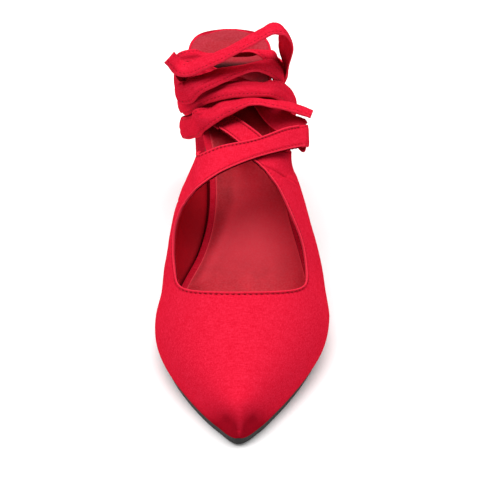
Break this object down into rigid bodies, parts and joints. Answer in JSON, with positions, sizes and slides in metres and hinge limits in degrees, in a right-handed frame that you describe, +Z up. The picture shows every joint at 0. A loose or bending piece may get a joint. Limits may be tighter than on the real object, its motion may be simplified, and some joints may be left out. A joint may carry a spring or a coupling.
{
  "type": "shoe",
  "caption": "Red satin pointed-toe tie-up pump on a tapered block heel, with crossing straps that run on as ankle ties, one left shoe",
  "frame": {"origin": "on the floor under the middle of the shoe", "axes": "+X to the lateral side, +Y from toe to heel, +Z up, metres"},
  "size_m": [0.0777, 0.2501, 0.0964],
  "materials": {
    "red_satin": "woven satin, soft sheen",
    "red_sock": "smooth, semi gloss",
    "dark_rubber": "matt",
    "black_rubber": "matt"
  },
  "bodies": {
    "root": {"outsole": "dark_rubber", "insole": "red_sock", "heel": "red_satin", "heel_top_piece": "black_rubber", "upper": "red_satin", "tie_medial": "red_satin", "tie_lateral": "red_satin"}
  },
  "joints": []
}
